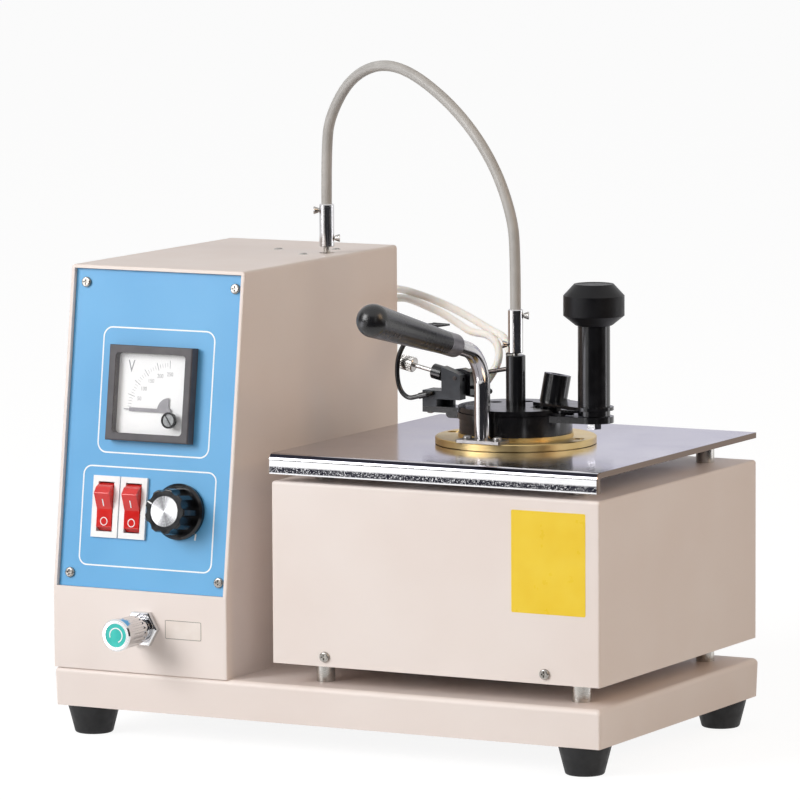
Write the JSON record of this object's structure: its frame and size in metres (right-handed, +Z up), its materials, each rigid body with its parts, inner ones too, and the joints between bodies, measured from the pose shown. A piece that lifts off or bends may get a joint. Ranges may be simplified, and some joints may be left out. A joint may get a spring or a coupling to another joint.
{
  "type": "closed-cup flash point tester",
  "caption": "Bench flash point tester with a sloping control box, heater box, brass cup with handle, shuttered lid, burner, gas hoses and flexible stirrer drive.",
  "frame": {"origin": "on the bench, under the middle of the base tray", "axes": "+X to the right along the tray, +Y to the rear, +Z up; the control panel and handle face -Y"},
  "size_m": [0.3094, 0.3039, 0.3392],
  "materials": {
    "beige_paint": "fine textured powder coat",
    "tray_paint": "fine textured powder coat",
    "foot_rubber": "matt",
    "steel_post": "turned",
    "panel_print": "printed satin sheet",
    "screw_steel": "bright",
    "meter_moulding": "satin",
    "meter_card": "printed",
    "meter_glass": "clear",
    "needle_black": "matt",
    "switch_red": "gloss",
    "switch_white": "gloss",
    "knob_black": "gloss",
    "cap_aluminium": "spun",
    "chrome": "polished",
    "ferrule_metal": "dark plated, semi-gloss",
    "cap_turquoise": "satin",
    "brass": "turned",
    "motor_metal": "satin",
    "regulator_body": "matt",
    "inlet_black": "moulded",
    "bath_iron": "cast",
    "element_steel": "heat-tinted",
    "cover_chrome": "polished plate",
    "grip_black": "satin",
    "black_oxide": "black finish, semi-gloss",
    "shutter_black": "black finish, gloss",
    "steel_parts": "bright",
    "silicone_hose": "translucent silicone",
    "flex_sheath": "satin sheath"
  },
  "bodies": {
    "stand": {"base_tray": "tray_paint", "rubber_feet": "foot_rubber", "standoffs": "steel_post", "control_box_shell": "beige_paint", "rear_panel": "beige_paint", "front_panel": "panel_print", "case_screws": "screw_steel", "meter_case": "meter_moulding", "meter_dial": "meter_card", "meter_window": "meter_glass", "switch_frames": "switch_white", "voltage_regulator": "regulator_body", "gas_valve_body": "chrome", "motor_housing": "motor_metal", "motor_screws": "screw_steel", "mains_inlet": "inlet_black", "rear_gas_nipples": "brass", "heater_box_shell": "beige_paint", "heater_box_base": "beige_paint", "air_bath": "bath_iron", "heating_element": "element_steel", "cover_plate": "cover_chrome"},
    "meter_pointer": {"meter_needle": "needle_black"},
    "meter_adjuster": {"meter_zero_screw": "knob_black"},
    "power_switch": {"power_rocker": "switch_red"},
    "stir_switch": {"stir_rocker": "switch_red"},
    "voltage_control": {"voltage_knob": "knob_black", "voltage_knob_cap": "cap_aluminium"},
    "gas_control": {"gas_valve_knob": "chrome", "gas_valve_cap": "cap_turquoise"},
    "motor_output": {"motor_shaft": "steel_parts"},
    "test_cup": {"cup": "brass", "handle_foot_plate": "steel_parts", "handle_screws": "screw_steel", "handle_tube": "chrome", "handle_ferrule": "ferrule_metal", "handle_grip": "grip_black"},
    "lid_group": {"lid": "black_oxide", "bridge_plate": "black_oxide", "stirrer_bearing": "black_oxide", "thermometer_ferrule": "black_oxide", "knob_sleeve": "black_oxide", "burner_bracket": "black_oxide", "lock_nut": "black_oxide", "test_gas_pipe": "black_oxide", "pilot_pipe": "black_oxide", "gas_hose_outer": "silicone_hose", "gas_hose_inner": "silicone_hose"},
    "knob_drive": {"shutter_knob": "grip_black", "crank_shaft": "black_oxide", "crank_bolt": "chrome"},
    "shutter_disc": {"shutter": "shutter_black"},
    "test_flame": {"burner_jet": "black_oxide"},
    "flame_adjuster": {"flame_screw": "steel_parts"},
    "stirrer": {"stirrer_shaft": "steel_parts"},
    "flexible_drive": {"flexible_shaft": "flex_sheath"},
    "upper_drive_end": {"upper_coupling": "chrome", "upper_thumb_screws": "screw_steel"},
    "lower_drive_end": {"lower_coupling": "chrome", "lower_thumb_screws": "screw_steel"}
  },
  "joints": [
    {"name": "needle_swing", "type": "hinge", "parent": "stand", "child": "meter_pointer", "pos_m": [-0.09325, -0.07921, 0.16679], "axis": [0, 0.9912, -0.1324], "range_deg": [0, 90], "stiffness_Nm_per_rad": 0.0005},
    {"name": "zero_adjust", "type": "hinge", "parent": "stand", "child": "meter_adjuster", "pos_m": [-0.09075, -0.07982, 0.16223], "axis": [0, -0.9912, 0.1324], "range_deg": [-45, 45]},
    {"name": "power_press", "type": "hinge", "parent": "stand", "child": "power_switch", "pos_m": [-0.12735, -0.08057, 0.11663], "axis": [-1, 0, 0], "range_deg": [0, 28]},
    {"name": "stir_press", "type": "hinge", "parent": "stand", "child": "stir_switch", "pos_m": [-0.11125, -0.08057, 0.11663], "axis": [-1, 0, 0], "range_deg": [0, 28]},
    {"name": "voltage_turn", "type": "hinge", "parent": "stand", "child": "voltage_control", "pos_m": [-0.08435, -0.08585, 0.11713], "axis": [0, -0.9912, 0.1324], "range_deg": [-18, 282]},
    {"name": "gas_turn", "type": "hinge", "parent": "stand", "child": "gas_control", "pos_m": [-0.1022, -0.0914, 0.0576], "axis": [0, -1, 0], "range_deg": [0, 720]},
    {"name": "motor_spin", "type": "hinge", "parent": "stand", "child": "motor_output", "pos_m": [-0.0658, 0.0375, 0.238], "axis": [0, 0, 1], "continuous": true},
    {"name": "cup_lift", "type": "slide", "parent": "stand", "child": "test_cup", "axis": [0, 0, 1], "range_m": [0, 0.075]},
    {"name": "lid_lift", "type": "slide", "parent": "test_cup", "child": "lid_group", "axis": [0, 0, 1], "range_m": [0, 0.06]},
    {"name": "knob_turn", "type": "hinge", "parent": "lid_group", "child": "knob_drive", "pos_m": [0.10772, -0.00277, 0.2122], "axis": [0, 0, -1], "range_deg": [0, 60], "stiffness_Nm_per_rad": 0.04, "springref_deg": -14.32},
    {"name": "shutter_turn", "type": "hinge", "parent": "lid_group", "child": "shutter_disc", "pos_m": [0.0625, 0, 0.1666], "axis": [0, 0, 1], "range_deg": [0, 27.33]},
    {"name": "flame_dip", "type": "hinge", "parent": "lid_group", "child": "test_flame", "pos_m": [0.0311, 0, 0.1821], "axis": [0, 1, 0], "range_deg": [0, 20]},
    {"name": "flame_adjust", "type": "hinge", "parent": "lid_group", "child": "flame_adjuster", "pos_m": [0.0234, -0.002, 0.1834], "axis": [-0.977, 0, 0.213], "range_deg": [-360, 360]},
    {"name": "stirrer_spin", "type": "hinge", "parent": "lid_group", "child": "stirrer", "pos_m": [0.0625, 0, 0.1948], "axis": [0, 0, 1], "continuous": true},
    {"name": "drive_lift", "type": "slide", "parent": "lid_group", "child": "flexible_drive", "axis": [0, 0, 1], "range_m": [0, 0.025]},
    {"name": "upper_end_spin", "type": "hinge", "parent": "flexible_drive", "child": "upper_drive_end", "pos_m": [-0.0658, 0.0375, 0.2633], "axis": [0, 0, 1], "continuous": true},
    {"name": "lower_end_spin", "type": "hinge", "parent": "flexible_drive", "child": "lower_drive_end", "pos_m": [0.0625, 0, 0.2178], "axis": [0, 0, 1], "continuous": true}
  ],
  "couplings": [
    {"joint": "shutter_turn", "follows": "knob_turn", "ratio": 0.4555},
    {"joint": "flame_dip", "follows": "knob_turn", "ratio": 0.33333},
    {"joint": "stirrer_spin", "follows": "motor_spin", "ratio": -1},
    {"joint": "upper_end_spin", "follows": "motor_spin", "ratio": 1},
    {"joint": "lower_end_spin", "follows": "motor_spin", "ratio": -1}
  ]
}
